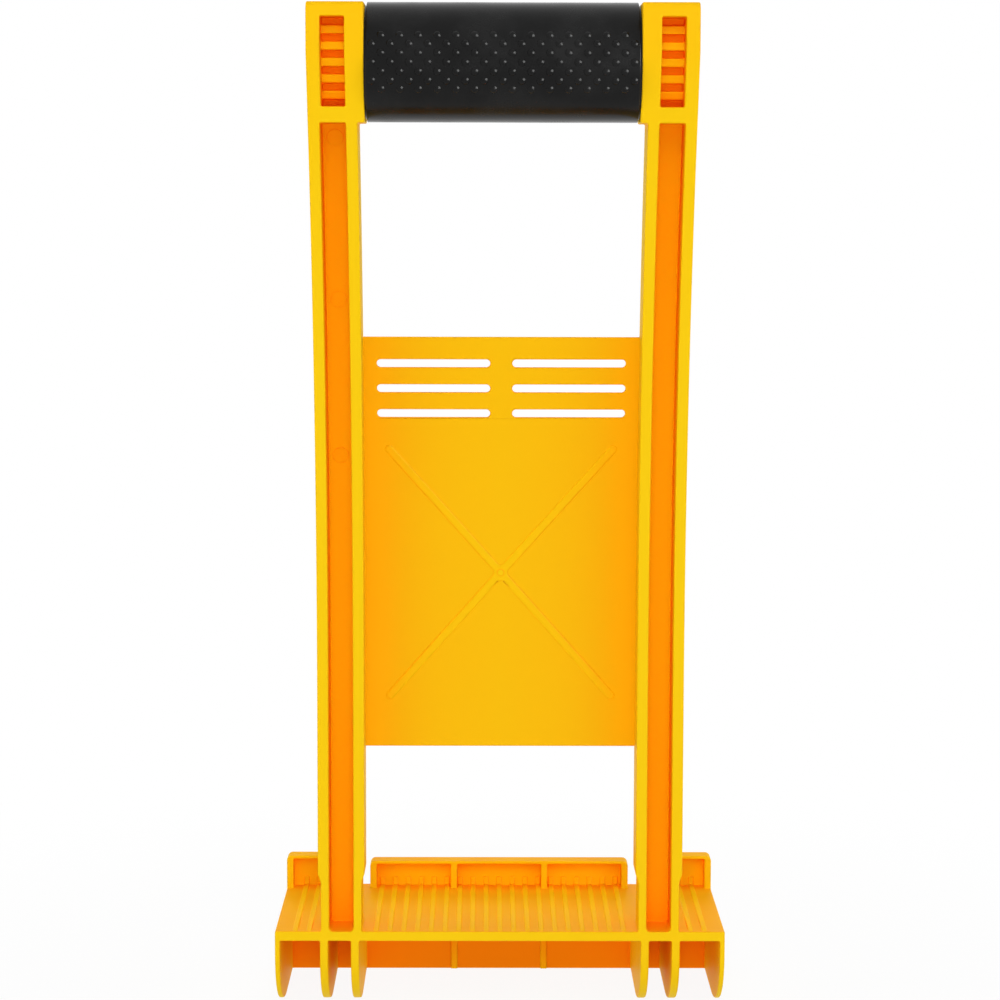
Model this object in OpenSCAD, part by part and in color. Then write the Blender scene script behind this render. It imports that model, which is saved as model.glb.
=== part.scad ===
// Panel carrier: a one-handed carrier for boards and sheets. A ribbed shelf with a low lip takes the
// panel's lower edge, two channel uprights joined by a back plate rise from it and bend forward to
// two head blocks, and a studded grip between the heads is held in the hand.
// X runs along the shelf, Y runs from the hand side to the panel side, Z is up, and the shelf's
// walls stand on Z = 0. The origin is under the middle of the whole carrier.

/* [Shelf] */
// Length of the shelf from end to end
shelf_w = 166.6; // [150:0.2:200]
// Depth of the shelf from its near edge to its far face
shelf_d = 77; // [70:0.5:100]
// Height of the deck's top above the floor
shelf_h = 33.6; // [31:0.1:45]
// Thickness of the deck
deck_t = 3.6; // [2.6:0.1:4.6]
// Thickness of the two end walls under the deck
end_wall_t = 1.8; // [1.2:0.1:3]
// Thickness of the far wall, which is the skirt below the deck and the lip above it
far_wall_t = 2.5; // [1.6:0.1:4]
// How far back the rounded toe of each wall under the deck reaches
toe_reach = 40; // [20:1:50]
// How high the rounded toe of each wall under the deck starts
toe_rise = 25; // [12:1:26]
// Width of the stiffening ribs on the far wall
far_rib_w = 2.5; // [1.4:0.1:3]
// Distance between the two stiffening ribs on the far wall
far_rib_gap = 35.4; // [25:0.2:60]
// How far the stiffening ribs stand out from the skirt
skirt_rib_d = 0.8; // [0.4:0.1:4]

/* [Ridges] */
// Number of grip ridges in the bay between the uprights
ridge_n = 19; // [11:2:19]
// Spacing of the grip ridges
ridge_pitch = 5.1; // [4:0.1:5.2]
// Width of a grip ridge
ridge_w = 2.1; // [1:0.1:2.4]
// Height of a grip ridge above the deck
ridge_h = 0.6; // [0.4:0.1:1.2]
// How far the ridges stop short of the deck's near edge
ridge_inset = 0.8; // [0.6:0.1:4]
// Length over which a ridge rises from the deck at its near end
ridge_ramp = 5; // [1:0.5:10]
// How far the ridges run up the lip's wall
ridge_climb = 3.6; // [1:0.2:6]
// Number of grip ridges in each end bay
end_ridge_n = 2; // [1:1:2]
// Distance of the outermost ridge from the shelf's end
end_ridge_in = 7.5; // [4:0.1:8]

/* [Lip] */
// Height of the middle lip above the deck
lip_h = 10.8; // [8:0.2:20]
// Height of the two end lips above the deck
end_lip_h = 12.9; // [8:0.2:22]
// Depth of the lip's frame, with the far wall
lip_d = 8; // [6:0.1:12]
// Thickness of the posts at the ends of each lip
lip_post_t = 2.6; // [1.6:0.1:3.2]
// Thickness of the flange along the top of each lip
lip_flange_t = 1.2; // [0.8:0.1:2.4]
// Radius of the lips' upper corners
lip_corner_r = 2; // [1:0.1:4]
// Gap along the shelf between a foot and the lips beside it
lip_gap = 0.6; // [0:0.1:2]

/* [Uprights] */
// Clear width between the two uprights
upright_gap = 100.2; // [95:0.2:110]
// Width of the channel inside an upright
channel_w = 9; // [7:0.1:12]
// Thickness of an upright's side flanges
flange_t = 4.1; // [3.5:0.1:4.8]
// Thickness of the flanges in the foot, and of the walls under them
foot_flange_t = 3; // [2:0.1:3.4]
// How far the inner walls under the deck stand outside the foot's inner flanges
inner_wall_out = 1; // [0:0.05:2]
// How far the outer walls under the deck stand outside the foot's outer flanges
outer_wall_out = 0.45; // [0:0.05:2]
// Height of the foot above the deck
foot_h = 21.5; // [12:0.5:40]
// Height over which the foot widens to the upright
foot_slope = 3; // [1:0.5:8]
// Depth of an upright from its near edge to the panel side
upright_d = 18.5; // [15:0.5:24]
// Thickness of the web at the bottom of the channel
web_t = 2.5; // [1.8:0.1:4]
// Height of the straight stretch of an upright above the deck
straight_h = 90; // [60:1:130]
// Radius of the forward bend, at the near edge
bend_r = 500; // [420:10:700]

/* [Back plate] */
// Height of the plate's lower edge above the deck
plate_low = 66.7; // [45:0.1:80]
// Height of the plate's upper edge above the deck
plate_top = 220; // [212:1:250]
// Thickness of the plate
plate_t = 2.6; // [2:0.1:4]
// Number of slots above each other
slot_rows = 3; // [1:1:3]
// Spacing of the slots
slot_pitch = 9.25; // [6:0.05:10]
// Distance of the uppermost slot below the plate's upper edge
slot_drop = 9.7; // [5:0.1:12]
// Length of a slot
slot_l = 41.3; // [30:0.1:44]
// Height of a slot
slot_h = 2.95; // [2:0.05:4]
// Plain strip between the left and the right slots
slot_strip = 8; // [5:0.1:12]
// Width of the raised cross on the plate
cross_w = 3.2; // [2:0.1:5]
// Height of the raised cross above the plate
cross_h = 0.4; // [0.3:0.1:1.6]
// Distance between the ends of the cross along the shelf
cross_span = 82; // [60:0.5:90]
// Distance of the cross from the plate's upper edge
cross_drop = 41.5; // [38:0.5:60]
// Distance of the cross from the plate's lower edge
cross_lift = 19.2; // [8:0.2:30]

/* [Heads] */
// Height of the grip's middle line above the deck
handle_h = 317; // [300:1:340]
// Depth of the grip's middle line behind the near edge of the bend
handle_in = 18.3; // [14:0.1:22]
// Radius of the heads round the grip's middle line
head_r = 19.9; // [19:0.1:24]
// How far the head's upright front stands before the grip's middle line
head_front = 20.9; // [20.4:0.1:26]
// Height of the front's upright stretch above the grip's middle line at its start
head_brow = 3; // [0:0.5:8]
// Radius of the head's upper front edge
head_corner_r = 4; // [2:0.1:8]
// How far below the grip's middle line the head ends on the upright
head_drop = 21; // [20.5:0.1:28]
// How far the heads stand in from the uprights towards the grip
head_step = 2.5; // [1:0.1:5]
// Distance of the pocket window from the head's outer face
window_in = 4.75; // [3:0.05:6]
// Width of the pocket window
window_w = 8.35; // [6:0.05:10]
// How far the middle of the pocket window lies below the grip's middle line
window_drop = 0.35; // [0:0.05:2]
// Depth at which the ribs between the pockets lie back
window_d = 9; // [4:0.5:12]
// Number of pockets above each other
pocket_n = 6; // [3:1:6]
// Height of a pocket
pocket_h = 2.65; // [1.6:0.05:2.8]
// Thickness of the rib between two pockets
pocket_rib_t = 2.9; // [1.6:0.1:3]
// Depth of the pockets behind their ribs
pocket_d = 4; // [2:0.5:14]

/* [Grip] */
// Diameter of the handle bar inside the grip
core_d = 33; // [26:0.2:36]
// Diameter of the rubber grip
grip_d = 41.4; // [38:0.2:46]
// Width of the groove at each end of the grip
grip_groove = 0.4; // [0.2:0.05:1.5]
// Depth of the groove at each end of the grip
grip_groove_d = 0.35; // [0.2:0.05:1.5]
// Rows of studs on the hand side and again on the finger side
stud_rows = 7; // [3:2:7]
// Angle between two rows of studs, in degrees
stud_row_a = 8.9; // [7:0.1:10]
// Angle by which the middle row on the hand side lies below the grip's middle line, in degrees
stud_turn = 2; // [-6:0.5:6]
// Spacing of the studs along a row
stud_pitch = 6.42; // [5:0.02:8]
// Diameter of a stud
stud_d = 2.8; // [2:0.1:4]
// Height of a stud above the grip
stud_h = 0.7; // [0.4:0.1:1]
// Plain margin between the outermost stud and the grip's end
stud_margin = 0.6; // [0.4:0.1:6]

/* [Hidden] */

$fn = 96;
// Segments of a full turn of the forward bend
bend_fn = 480;
// Length by which a cut runs past the face that it opens
past = 1;
// Angle step of the walls' round toes
toe_step = 7.5;
// Angle step of the heads' round outline
head_arc_step = 6;

moulded = "gold";
rubber_black = "#2b2b2d";

half_w = shelf_w / 2;
under_h = shelf_h - deck_t;
lip_y = shelf_d - lip_d;
far_wall_y = shelf_d - far_wall_t;

// Places of an upright's flanges along X, on the right-hand side
inner_x = upright_gap / 2;
channel_x = inner_x + flange_t;
channel_end_x = channel_x + channel_w;
outer_x = channel_end_x + flange_t;
// The same places on a foot
foot_x = channel_x - foot_flange_t;
foot_end_x = channel_end_x + foot_flange_t;

// The bend turns about a line along X, in front of the near edge, at the top of the straight stretch
bend_z = shelf_h + straight_h;
web_in = upright_d - web_t;
plate_in = upright_d - plate_t;

// The grip's middle line, and the level at which the heads sit on the uprights
handle_z = shelf_h + handle_h;
handle_y = bend_y(handle_in, handle_z);
head_z = handle_z - head_drop;
head_near_y = bend_y(0, head_z);
head_far_y = bend_y(upright_d, head_z);
head_top = handle_z + head_r;
head_front_y = handle_y - head_front;
head_x = inner_x - head_step;
head_w = outer_x - head_x;
// Enough of the bend to reach past the heads' seat at the near edge
bend_a = bend_angle(0, head_z) + 1;

// The carrier reaches from the grip's studs to the shelf's far face, and the origin is midway
reach_y = max(grip_d / 2 + stud_h, head_front) - handle_y;
middle_y = (shelf_d - reach_y) / 2;

// Angle of the bend at height z, on the arc that lies at depth d behind the near edge
function bend_angle(d, z) = asin((z - bend_z) / (bend_r + d));
// Place along Y of that arc at height z
function bend_y(d, z) = (bend_r + d) * cos(bend_angle(d, z)) - bend_r;

// Moves a piece from the shelf's near edge to the carrier's own origin
module placed() {
    translate([0, -middle_y, 0]) children();
}

// Stands a drawing of the side view, made in Y and Z, upright, so that it runs along X
module side() {
    rotate([90, 0, 90]) children();
}

// Mirrors a piece to the left-hand side
module left_hand() {
    mirror([1, 0, 0]) children();
}

// A box given by its lowest corner and its highest corner
module block(low, high) {
    translate(low) cube(high - low);
}

// A wall under the deck, from x0, t thick, with a rounded toe at its near end
module under_wall(x0, t) {
    toe = [for (a = [0 : toe_step : 90]) [toe_reach * (1 - cos(a)), toe_rise * (1 - sin(a))]];
    translate([x0, 0, 0]) side() linear_extrude(t)
        polygon(concat([[far_wall_y, 0], [far_wall_y, under_h], [0, under_h]], toe));
}

// Outline of a lip seen from the hand side, with rounded upper corners
module lip_outline(x0, x1, h) {
    translate([x0, 0]) square([x1 - x0, h - lip_corner_r]);
    translate([x0 + lip_corner_r, 0]) square([x1 - x0 - 2 * lip_corner_r, h]);
    for (x = [x0 + lip_corner_r, x1 - lip_corner_r]) {
        translate([x, h - lip_corner_r]) circle(lip_corner_r);
    }
}

// A lip from x0 to x1, open towards the hand side, with ribs of the far wall's width at rib_xs
module lip(x0, x1, h, rib_xs = []) {
    starts = concat([x0 + lip_post_t], [for (x = rib_xs) x + far_rib_w / 2]);
    ends = concat([for (x = rib_xs) x - far_rib_w / 2], [x1 - lip_post_t]);
    difference() {
        translate([0, shelf_d, shelf_h]) rotate([90, 0, 0]) linear_extrude(lip_d) lip_outline(x0, x1, h);
        for (i = [0 : len(starts) - 1]) {
            block([starts[i], lip_y - past, shelf_h - past],
                  [ends[i], far_wall_y, shelf_h + h - lip_flange_t]);
        }
    }
}

// Cross-section of an upright, as depth behind the near edge and X
module channel_section() {
    for (x = [inner_x, channel_end_x]) {
        translate([0, x]) square([upright_d, flange_t]);
    }
    translate([web_in, channel_x]) square([web_t, channel_w]);
}

// Turns a drawing in depth and X round the forward bend, through angle a
module bent(a) {
    translate([0, -bend_r, bend_z]) side() rotate_extrude(angle = a, $fn = bend_fn)
        translate([bend_r, 0]) children();
}

// A sheet between the uprights, t thick, starting at the given depth and following the bend
module bent_sheet(depth, t, z0, z1) {
    block([-inner_x, depth, z0], [inner_x, depth + t, bend_z]);
    intersection() {
        bent(bend_angle(depth, z1) + 1) translate([depth, -inner_x]) square([t, upright_gap]);
        block([-inner_x, handle_y, bend_z], [inner_x, shelf_d, z1]);
    }
}

// A bar of width w with round ends between two points of the front view, cut through along Y
module through_bar(a, b, w) {
    run = norm(b - a);
    turn = atan2(b[1] - a[1], b[0] - a[0]);
    translate([a[0], shelf_d, a[1]]) rotate([90, 0, 0]) rotate(turn)
        linear_extrude(shelf_d - handle_y) {
            translate([0, -w / 2]) square([run, w]);
            circle(w / 2);
            translate([run, 0]) circle(w / 2);
        }
}

// Points of an arc about c, of radius r, from angle a0 down to angle a1
function arc(c, r, a0, a1) =
    let (n = ceil((a0 - a1) / head_arc_step))
    [for (i = [0 : n]) c + r * [cos(a0 + (a1 - a0) * i / n), sin(a0 + (a1 - a0) * i / n)]];

// Side view of a head: round about the grip's middle line, upright in front, seated on the upright
module head_outline() {
    middle = [handle_y, handle_z];
    corner = [head_front_y + head_corner_r, head_top - head_corner_r];
    seat = [head_far_y, head_z] - middle;
    tangent_a = atan2(seat[1], seat[0]) + acos(head_r / norm(seat));
    polygon(concat([[head_near_y, head_z], [head_front_y, handle_z + head_brow]],
                   arc(corner, head_corner_r, 180, 90),
                   arc(middle, head_r, 90, tangent_a),
                   [[head_far_y, head_z]]));
}

// A cut into the head's front from low_z, h high, whose floor follows the front at depth d
module head_cut(low_z, h, d) {
    translate([outer_x - window_in - window_w, 0, 0]) side() linear_extrude(window_w) difference() {
        translate([head_front_y - past, low_z]) square([head_front + d, h]);
        translate([d, 0]) head_outline();
    }
}

// The right-hand head, with a stack of pockets behind a window in its front
module head() {
    step = pocket_h + pocket_rib_t;
    stack_h = pocket_n * step - pocket_rib_t;
    low_z = handle_z - window_drop - stack_h / 2;
    difference() {
        translate([head_x, 0, 0]) side() linear_extrude(head_w) head_outline();
        head_cut(low_z, stack_h, window_d);
        for (i = [0 : pocket_n - 1]) {
            head_cut(low_z + i * step, pocket_h, window_d + pocket_d);
        }
    }
}

// One upright above its foot: a straight stretch, then the bend up to the head's seat
module upright() {
    foot_top = shelf_h + foot_h;
    translate([0, 0, foot_top]) linear_extrude(bend_z - foot_top) mirror([1, -1]) channel_section();
    intersection() {
        bent(bend_a) channel_section();
        block([inner_x, head_near_y - past, bend_z], [outer_x, shelf_d, head_z]);
    }
}

// One foot, with flanges that stand over the walls under the deck and widen to the upright's at the top
module foot() {
    slope_z = foot_h - foot_slope;
    translate([0, upright_d, shelf_h]) rotate([90, 0, 0]) linear_extrude(upright_d) {
        polygon([[foot_x, 0], [channel_x, 0], [channel_x, foot_h], [inner_x, foot_h], [foot_x, slope_z]]);
        polygon([[channel_end_x, 0], [foot_end_x, 0], [foot_end_x, slope_z], [outer_x, foot_h],
                 [channel_end_x, foot_h]]);
    }
    block([channel_x, web_in, shelf_h], [channel_end_x, upright_d, shelf_h + foot_h]);
}

// One field of domed studs, with every second row set over by half a pitch
module stud_field(r, l) {
    rows = floor(stud_rows / 2);
    dome_r = (stud_d * stud_d / 4 + stud_h * stud_h) / (2 * stud_h);
    whole_n = floor((l - stud_d - 2 * stud_margin) / stud_pitch);
    for (row = [-rows : rows]) {
        n = whole_n - abs(row) % 2;
        for (i = [0 : n]) {
            rotate([row * stud_row_a + stud_turn, 0, 0])
                translate([(i - n / 2) * stud_pitch, -r - stud_h + dome_r, 0]) sphere(dome_r, $fn = 24);
        }
    }
}

module shelf_deck() {
    color(moulded) placed() block([-half_w, 0, under_h], [half_w, shelf_d, shelf_h]);
}

module deck_ridges() {
    middle_xs = [for (i = [0 : ridge_n - 1]) (i - (ridge_n - 1) / 2) * ridge_pitch];
    end_xs = [for (s = [-1, 1], i = [0 : end_ridge_n - 1]) s * (half_w - end_ridge_in - i * ridge_pitch)];
    crest = shelf_h + ridge_h;
    wall_y = far_wall_y - ridge_h;
    color(moulded) placed() for (x = concat(middle_xs, end_xs)) {
        translate([x - ridge_w / 2, 0, 0]) side() linear_extrude(ridge_w)
            polygon([[ridge_inset, shelf_h], [ridge_inset + ridge_ramp, crest], [wall_y, crest],
                     [wall_y, shelf_h + ridge_climb], [far_wall_y, shelf_h + ridge_climb],
                     [far_wall_y, shelf_h]]);
    }
}

module rear_skirt() {
    color(moulded) placed() block([-half_w, far_wall_y, 0], [half_w, shelf_d, under_h]);
}

module skirt_ribs() {
    color(moulded) placed() for (x = [-far_rib_gap / 2, far_rib_gap / 2]) {
        block([x - far_rib_w / 2, far_wall_y - skirt_rib_d, 0], [x + far_rib_w / 2, far_wall_y, under_h]);
    }
}

module centre_lip() {
    rib_xs = [-far_rib_gap / 2, far_rib_gap / 2];
    color(moulded) placed() lip(lip_gap - foot_x, foot_x - lip_gap, lip_h, rib_xs);
}

module right_lip() {
    color(moulded) placed() lip(foot_end_x + lip_gap, half_w, end_lip_h);
}

module left_lip() {
    color(moulded) left_hand() placed() lip(foot_end_x + lip_gap, half_w, end_lip_h);
}

module right_end_wall() {
    color(moulded) placed() under_wall(half_w - end_wall_t, end_wall_t);
}

module left_end_wall() {
    color(moulded) left_hand() placed() under_wall(half_w - end_wall_t, end_wall_t);
}

module right_outer_wall() {
    color(moulded) placed() under_wall(channel_end_x + outer_wall_out, foot_flange_t);
}

module left_outer_wall() {
    color(moulded) left_hand() placed() under_wall(channel_end_x + outer_wall_out, foot_flange_t);
}

module right_inner_wall() {
    color(moulded) placed() under_wall(foot_x + inner_wall_out, foot_flange_t);
}

module left_inner_wall() {
    color(moulded) left_hand() placed() under_wall(foot_x + inner_wall_out, foot_flange_t);
}

module right_foot() {
    color(moulded) placed() foot();
}

module left_foot() {
    color(moulded) left_hand() placed() foot();
}

module right_upright() {
    color(moulded) placed() upright();
}

module left_upright() {
    color(moulded) left_hand() placed() upright();
}

module back_plate() {
    top_z = shelf_h + plate_top;
    color(moulded) placed() difference() {
        bent_sheet(plate_in, plate_t, shelf_h + plate_low, top_z);
        for (s = [-1, 1], i = [0 : slot_rows - 1]) {
            z = top_z - slot_drop - i * slot_pitch;
            through_bar([s * (slot_strip + slot_h) / 2, z],
                        [s * (slot_strip / 2 + slot_l - slot_h / 2), z], slot_h);
        }
    }
}

module cross_ribs() {
    low_z = shelf_h + plate_low + cross_lift;
    top_z = shelf_h + plate_top - cross_drop;
    x = cross_span / 2;
    color(moulded) placed() intersection() {
        bent_sheet(plate_in - cross_h, cross_h, shelf_h + plate_low, shelf_h + plate_top);
        union() {
            through_bar([-x, low_z], [x, top_z], cross_w);
            through_bar([-x, top_z], [x, low_z], cross_w);
        }
    }
}

module right_head() {
    color(moulded) placed() head();
}

module left_head() {
    color(moulded) left_hand() placed() head();
}

module handle_bar() {
    color(moulded) placed() translate([-head_x, handle_y, handle_z]) rotate([0, 90, 0])
        cylinder(d = core_d, h = 2 * head_x);
}

module grip_sleeve() {
    l = 2 * (head_x - grip_groove);
    color(rubber_black) placed() translate([0, handle_y, handle_z]) difference() {
        union() {
            rotate([0, 90, 0]) cylinder(d = grip_d - 2 * grip_groove_d, h = 2 * head_x, center = true);
            rotate([0, 90, 0]) cylinder(d = grip_d, h = l, center = true);
            stud_field(grip_d / 2, l);
            rotate([180, 0, 0]) stud_field(grip_d / 2, l);
        }
        rotate([0, 90, 0]) cylinder(d = core_d, h = 2 * (head_x + past), center = true);
    }
}

shelf_deck();
deck_ridges();
rear_skirt();
skirt_ribs();
centre_lip();
left_lip();
right_lip();
left_end_wall();
left_outer_wall();
left_inner_wall();
right_inner_wall();
right_outer_wall();
right_end_wall();
left_foot();
right_foot();
left_upright();
right_upright();
back_plate();
cross_ribs();
left_head();
right_head();
handle_bar();
grip_sleeve();
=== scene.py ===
"""Dresses the panel carrier: a one-piece moulding with rounded edges, its ridges, cross and pin marks,
and a studded rubber grip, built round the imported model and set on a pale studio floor."""

import math

import bmesh
import bpy
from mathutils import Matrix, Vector


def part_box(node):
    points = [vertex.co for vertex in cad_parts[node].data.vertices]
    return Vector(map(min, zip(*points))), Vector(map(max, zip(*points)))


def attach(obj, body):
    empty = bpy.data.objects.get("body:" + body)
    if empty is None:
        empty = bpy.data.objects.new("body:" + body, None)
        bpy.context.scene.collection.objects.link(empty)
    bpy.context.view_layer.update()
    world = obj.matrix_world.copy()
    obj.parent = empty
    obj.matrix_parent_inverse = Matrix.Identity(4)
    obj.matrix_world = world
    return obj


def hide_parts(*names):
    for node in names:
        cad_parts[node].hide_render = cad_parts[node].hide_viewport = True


bl_info = {
    "name": "Panel carrier",
    "version": (1, 0, 0),
    "blender": (4, 5, 0),
    "location": "3D View > Sidebar > Carrier",
    "description": "Builds the visible pieces of a one-handed panel carrier round its packed model",
    "category": "Object",
}

MM = 0.001
BODY = "root"
PLASTIC_SLOT = "yellow_plastic"
RUBBER_SLOT = "grip_rubber"
# Length by which a member runs into the one that carries it, and by which a cut runs past a face
SINK = 1.0 * MM
PAST = 3.0 * MM
# Steps of the arcs that draw round ends and the heads' corners, small corners, the sleeve's rims and the
# backs of the heads
END_STEPS = 10
CORNER_STEPS = 6
RIM_STEPS = 5
HEAD_STEPS = 28
# Steps of the walls' round toe, which is a quarter turn
TOE_STEPS = 18
# Step in degrees and number of steps with which side views follow the bend, and how far they keep from
# the ends of a view
BEND_STEP = 0.62
BEND_STEPS = 45
STEP_MARGIN = 0.2 * MM
# Sides of a mould mark, the sleeve and a stud, rings of a stud, and how far its rim lies in the sleeve
MARK_SIDES = 48
SLEEVE_SIDES = 128
STUD_SIDES = 14
STUD_RINGS = 5
STUD_SINK = 0.15 * MM
# Share of a mould mark's height that its rounding takes
MARK_ROUND = 0.35
# Points closer than the first length count as one, edges shorter than the second as none, and faces that
# meet at less than the angle as flat
DOUBLE = 2e-6
NO_LENGTH = 1e-6
FLAT = math.radians(0.15)
# Edges that turn by more than these angles are rounded, or shaded as sharp
ROUND_FROM = math.radians(30)
SHARP_FROM = math.radians(50)
WHITE = (1, 1, 1, 1)
FLOOR_HALF = 8.0
# Width of the camera's sensor in mm, and the point that the lamps face
SENSOR = 36.0
AIM = Vector((0, 0, 0.19))
# Each lamp's name, place and width, and the setting with its power
LAMPS = (
    ("front_light", (0, -1.7, 1.25), 1.2, "key"),
    ("low_light", (0, -1.8, 0.1), 0.8, "fill"),
    ("lens_light", (0, -1.25, 0.18), 0.25, "lens_light"),
    ("left_side_light", (-1.6, -1.1, 0.15), 0.9, "side"),
    ("left_end_light", (-2, 0.3, 0.2), 1.2, "ends"),
    ("right_side_light", (1.6, -1.1, 0.15), 0.9, "side"),
    ("right_end_light", (2, 0.3, 0.2), 1.2, "ends"),
    ("back_light", (0, 1.9, 0.9), 1.2, "back"),
    ("right_card", (1.6, -1.25, 0.6), 2, "card"),
    ("top_light", (0, 0, 4), 5.5, "top"),
)

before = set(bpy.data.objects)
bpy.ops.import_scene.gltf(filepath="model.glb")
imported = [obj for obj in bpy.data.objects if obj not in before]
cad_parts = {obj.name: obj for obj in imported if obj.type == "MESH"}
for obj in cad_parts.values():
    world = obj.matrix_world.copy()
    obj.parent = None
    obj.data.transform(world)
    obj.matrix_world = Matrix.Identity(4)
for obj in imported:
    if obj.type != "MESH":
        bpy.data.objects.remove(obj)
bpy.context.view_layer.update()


def length(name, description, default):
    """A size in metres, as the panel shows it."""
    return bpy.props.FloatProperty(
        name=name, description=description, default=default, min=0.0, precision=5, unit="LENGTH")


def colour(name, description, default):
    """A linear colour."""
    return bpy.props.FloatVectorProperty(
        name=name, description=description, default=default, size=3, min=0.0, max=1.0, subtype="COLOR")


def share(name, description, default):
    """A number from 0 to 1."""
    return bpy.props.FloatProperty(
        name=name, description=description, default=default, min=0.0, max=1.0, subtype="FACTOR")


def amount(name, description, default):
    """A number of like things."""
    return bpy.props.IntProperty(name=name, description=description, default=default, min=1)


def angle(name, description, degrees):
    """An angle, given in degrees."""
    return bpy.props.FloatProperty(
        name=name, description=description, default=math.radians(degrees), subtype="ANGLE")


def watts(name, description, default):
    """The power of a lamp."""
    return bpy.props.FloatProperty(
        name=name, description=description, default=default, min=0.0, unit="POWER")


class ShelfSizes(bpy.types.PropertyGroup):
    """Sizes of the shelf, its walls and its lip"""

    toe_reach: length("Toe reach", "How far back the walls' round toe reaches", 40 * MM)
    toe_rise: length("Toe rise", "How high the walls' round toe starts", 25 * MM)
    lip_post: length("Lip post", "Thickness of the posts at the ends of each lip", 2.6 * MM)
    lip_flange: length("Lip flange", "Thickness of the flange along the top of each lip", 1.2 * MM)
    lip_corner: length("Lip corner", "Radius of the lips' upper corners", 2 * MM)
    rib_width: length("Rib width", "Width of the ribs on the skirt and the lip", 2.5 * MM)
    foot_fillet: length("Foot fillet", "Radius at the bottom of the channels", 1.5 * MM)
    ridge_count: amount("Ridges", "Ridges between the uprights", 19)
    ridge_pitch: length("Ridge pitch", "Spacing of the ridges", 5.1 * MM)
    ridge_width: length("Ridge width", "Width of a ridge", 2.1 * MM)
    ridge_height: length("Ridge height", "Height of a ridge", 0.6 * MM)
    ridge_ramp: length("Ridge ramp", "Length over which a ridge rises at its near end", 5 * MM)
    ridge_round: length("Ridge rounding", "Rounding of the ridges", 0.5 * MM)
    end_ridges: amount("End ridges", "Ridges beyond each upright", 2)


class FrameSizes(bpy.types.PropertyGroup):
    """Sizes of the uprights, the plate and the heads"""

    edge_radius: length("Edge radius", "Rounding of the moulding's edges", 0.5 * MM)
    channel_width: length("Channel width", "Width of the channel in an upright", 9 * MM)
    web: length("Web", "Thickness of the web behind the channel", 2.5 * MM)
    straight: length("Straight", "Height of the straight stretch above the deck", 90 * MM)
    bend_radius: length("Bend radius", "Radius of the forward bend at the near edge", 500 * MM)
    foot_flange: length("Foot flange", "Thickness of the flanges in the foot", 3 * MM)
    foot_slope: length("Foot slope", "Height over which the foot widens into the upright", 3 * MM)
    plate: length("Plate", "Thickness of the plate between the uprights", 2.6 * MM)
    slot_rows: amount("Slot rows", "Slots above each other", 3)
    slot_pitch: length("Slot pitch", "Spacing of the slots", 9.25 * MM)
    slot_drop: length("Slot drop", "Distance of the top slot below the plate's edge", 9.7 * MM)
    slot_length: length("Slot length", "Length of a slot", 41.3 * MM)
    slot_height: length("Slot height", "Height of a slot", 2.95 * MM)
    slot_strip: length("Slot strip", "Plain strip between left and right slots", 8 * MM)
    cross_width: length("Cross width", "Width of the raised cross", 3.2 * MM)
    cross_height: length("Cross height", "Height of the raised cross", 0.4 * MM)
    cross_round: length("Cross rounding", "Rounding of the raised cross", 1.1 * MM)
    cross_root: length("Cross root", "How deep the cross is rooted in the plate", 1.9 * MM)
    cross_swell: length("Cross swell", "How much wider the cross is at its root", 0.5 * MM)
    head_brow: length("Head brow", "Start of the head's upright front above the grip's axis", 3 * MM)
    head_corner: length("Head corner", "Radius of the head's upper front edge", 4 * MM)
    window_in: length("Window inset", "Distance of the pockets from the head's outer face", 4.75 * MM)
    window_drop: length("Window drop", "Distance of the pockets' middle below the grip's axis", 0.35 * MM)
    window_width: length("Window width", "Width of the pockets", 8.35 * MM)
    window_depth: length("Window depth", "How far the ribs between the pockets lie back", 9 * MM)
    pocket_count: amount("Pockets", "Pockets above each other", 6)
    pocket_height: length("Pocket height", "Height of a pocket", 2.65 * MM)
    pocket_rib: length("Pocket rib", "Thickness of the ribs between pockets", 2.9 * MM)
    pocket_depth: length("Pocket depth", "Depth of the pockets behind their ribs", 4 * MM)
    pin_diameter: length("Pin mark", "Width of the ejector pin marks on the left web", 5.8 * MM)
    pin_height: length("Pin mark height", "Height of the ejector pin marks", 0.4 * MM)
    pin_top: length("Top pin mark", "Height of the top pin mark above the floor", 324.8 * MM)
    pin_pitch: length("Pin pitch", "Distance between two pin marks", 57.5 * MM)
    pin_count: amount("Pin marks", "Pin marks on the web", 3)
    gate_diameter: length("Gate mark", "Width of the gate mark in the middle of the cross", 2.2 * MM)
    gate_height: length("Gate mark height", "Height of the gate mark above the cross", 0.4 * MM)


class GripSizes(bpy.types.PropertyGroup):
    """Sizes of the rubber grip"""

    end_round: length("End rounding", "Rounding of the sleeve's ends", 0.3 * MM)
    groove: length("Groove", "Width of the groove at each end of the sleeve", 0.6 * MM)
    groove_depth: length("Groove depth", "Depth of the groove at each end of the sleeve", 1.2 * MM)
    stud_rows: amount("Stud rows", "Rows of studs on each side", 7)
    stud_row_angle: angle("Row angle", "Angle between two rows", 8.9)
    stud_turn: angle("Row turn", "Angle of the middle row below the grip's axis on the hand side", 2)
    stud_pitch: length("Stud pitch", "Spacing of the studs along a row", 6.42 * MM)
    stud_diameter: length("Stud diameter", "Width of a stud", 2.8 * MM)
    stud_height: length("Stud height", "Height of a stud", 0.7 * MM)
    stud_margin: length("Stud margin", "Plain margin at the sleeve's ends", 0.4 * MM)


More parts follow.
